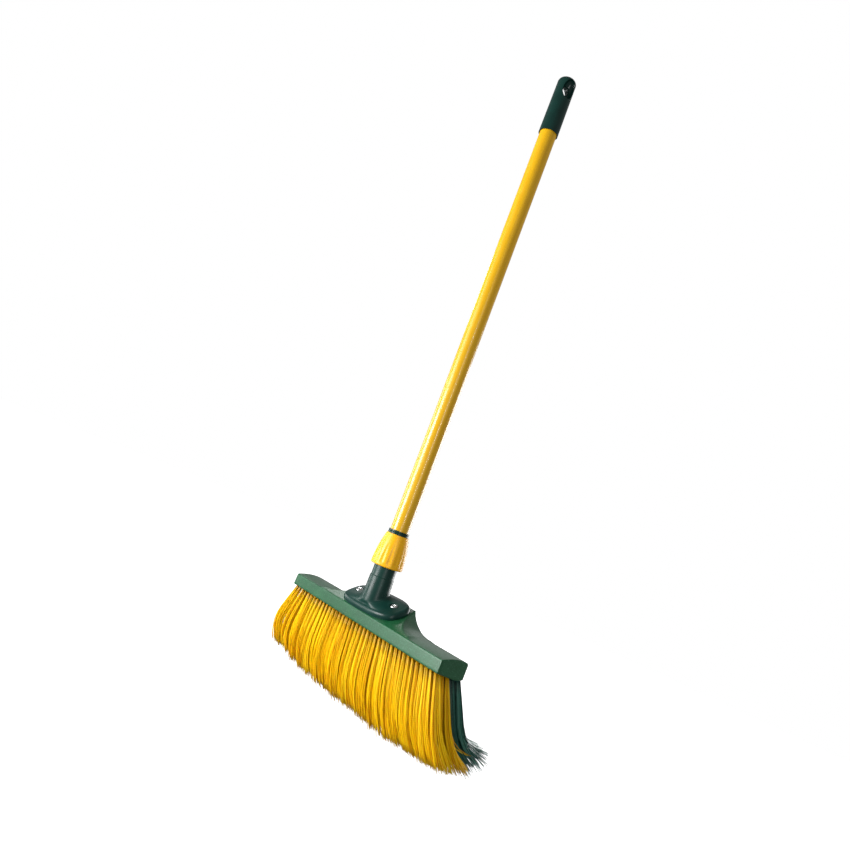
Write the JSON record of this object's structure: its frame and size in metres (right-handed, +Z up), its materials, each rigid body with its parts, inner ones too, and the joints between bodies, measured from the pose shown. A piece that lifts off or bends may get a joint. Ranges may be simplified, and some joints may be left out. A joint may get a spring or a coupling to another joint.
{
  "type": "push broom",
  "caption": "Push broom with a sloped-pad block, swept two-colour bristles, a screwed-on socket with a twist-lock nut, and a coated tube handle with a hang cap.",
  "frame": {"origin": "centre of the hang hole in the cap at the top of the handle", "axes": "+X along the block to the broom's right seen from the front, +Y to the rear, +Z up"},
  "size_m": [0.4176, 0.1911, 1.0422],
  "materials": {
    "block_foam": "satin",
    "dark_moulding": "satin",
    "cap_moulding": "satin",
    "yellow_moulding": "satin",
    "tube_coating": "gloss",
    "screw_zinc": "polished",
    "yellow_filament": "satin",
    "green_filament": "satin"
  },
  "bodies": {
    "head": {"block": "block_foam", "handle_socket": "dark_moulding", "socket_screw_left": "screw_zinc", "socket_screw_right": "screw_zinc", "yellow_bristle_row_1": "yellow_filament", "yellow_bristle_row_2": "yellow_filament", "yellow_bristle_row_3": "yellow_filament", "green_bristle_row_1": "green_filament", "green_bristle_row_2": "green_filament"},
    "handle": {"handle_tube": "tube_coating", "tube_end_plug": "dark_moulding", "hang_cap": "cap_moulding"},
    "collet": {"grip_collet": "dark_moulding"},
    "nut": {"lock_nut": "yellow_moulding"}
  },
  "joints": [
    {"name": "handle_pull", "type": "slide", "parent": "head", "child": "handle", "axis": [0, -0.0523, 0.9986], "range_m": [0, 0.11]},
    {"name": "collet_rise", "type": "slide", "parent": "head", "child": "collet", "axis": [0, -0.0523, 0.9986], "range_m": [0, 0.0046]},
    {"name": "nut_turn", "type": "hinge", "parent": "collet", "child": "nut", "pos_m": [0, 0, 0], "axis": [0, -0.0523, 0.9986], "range_deg": [0, 540]}
  ],
  "couplings": [
    {"joint": "collet_rise", "follows": "nut_turn", "m_per_rad": 0.00047746}
  ]
}
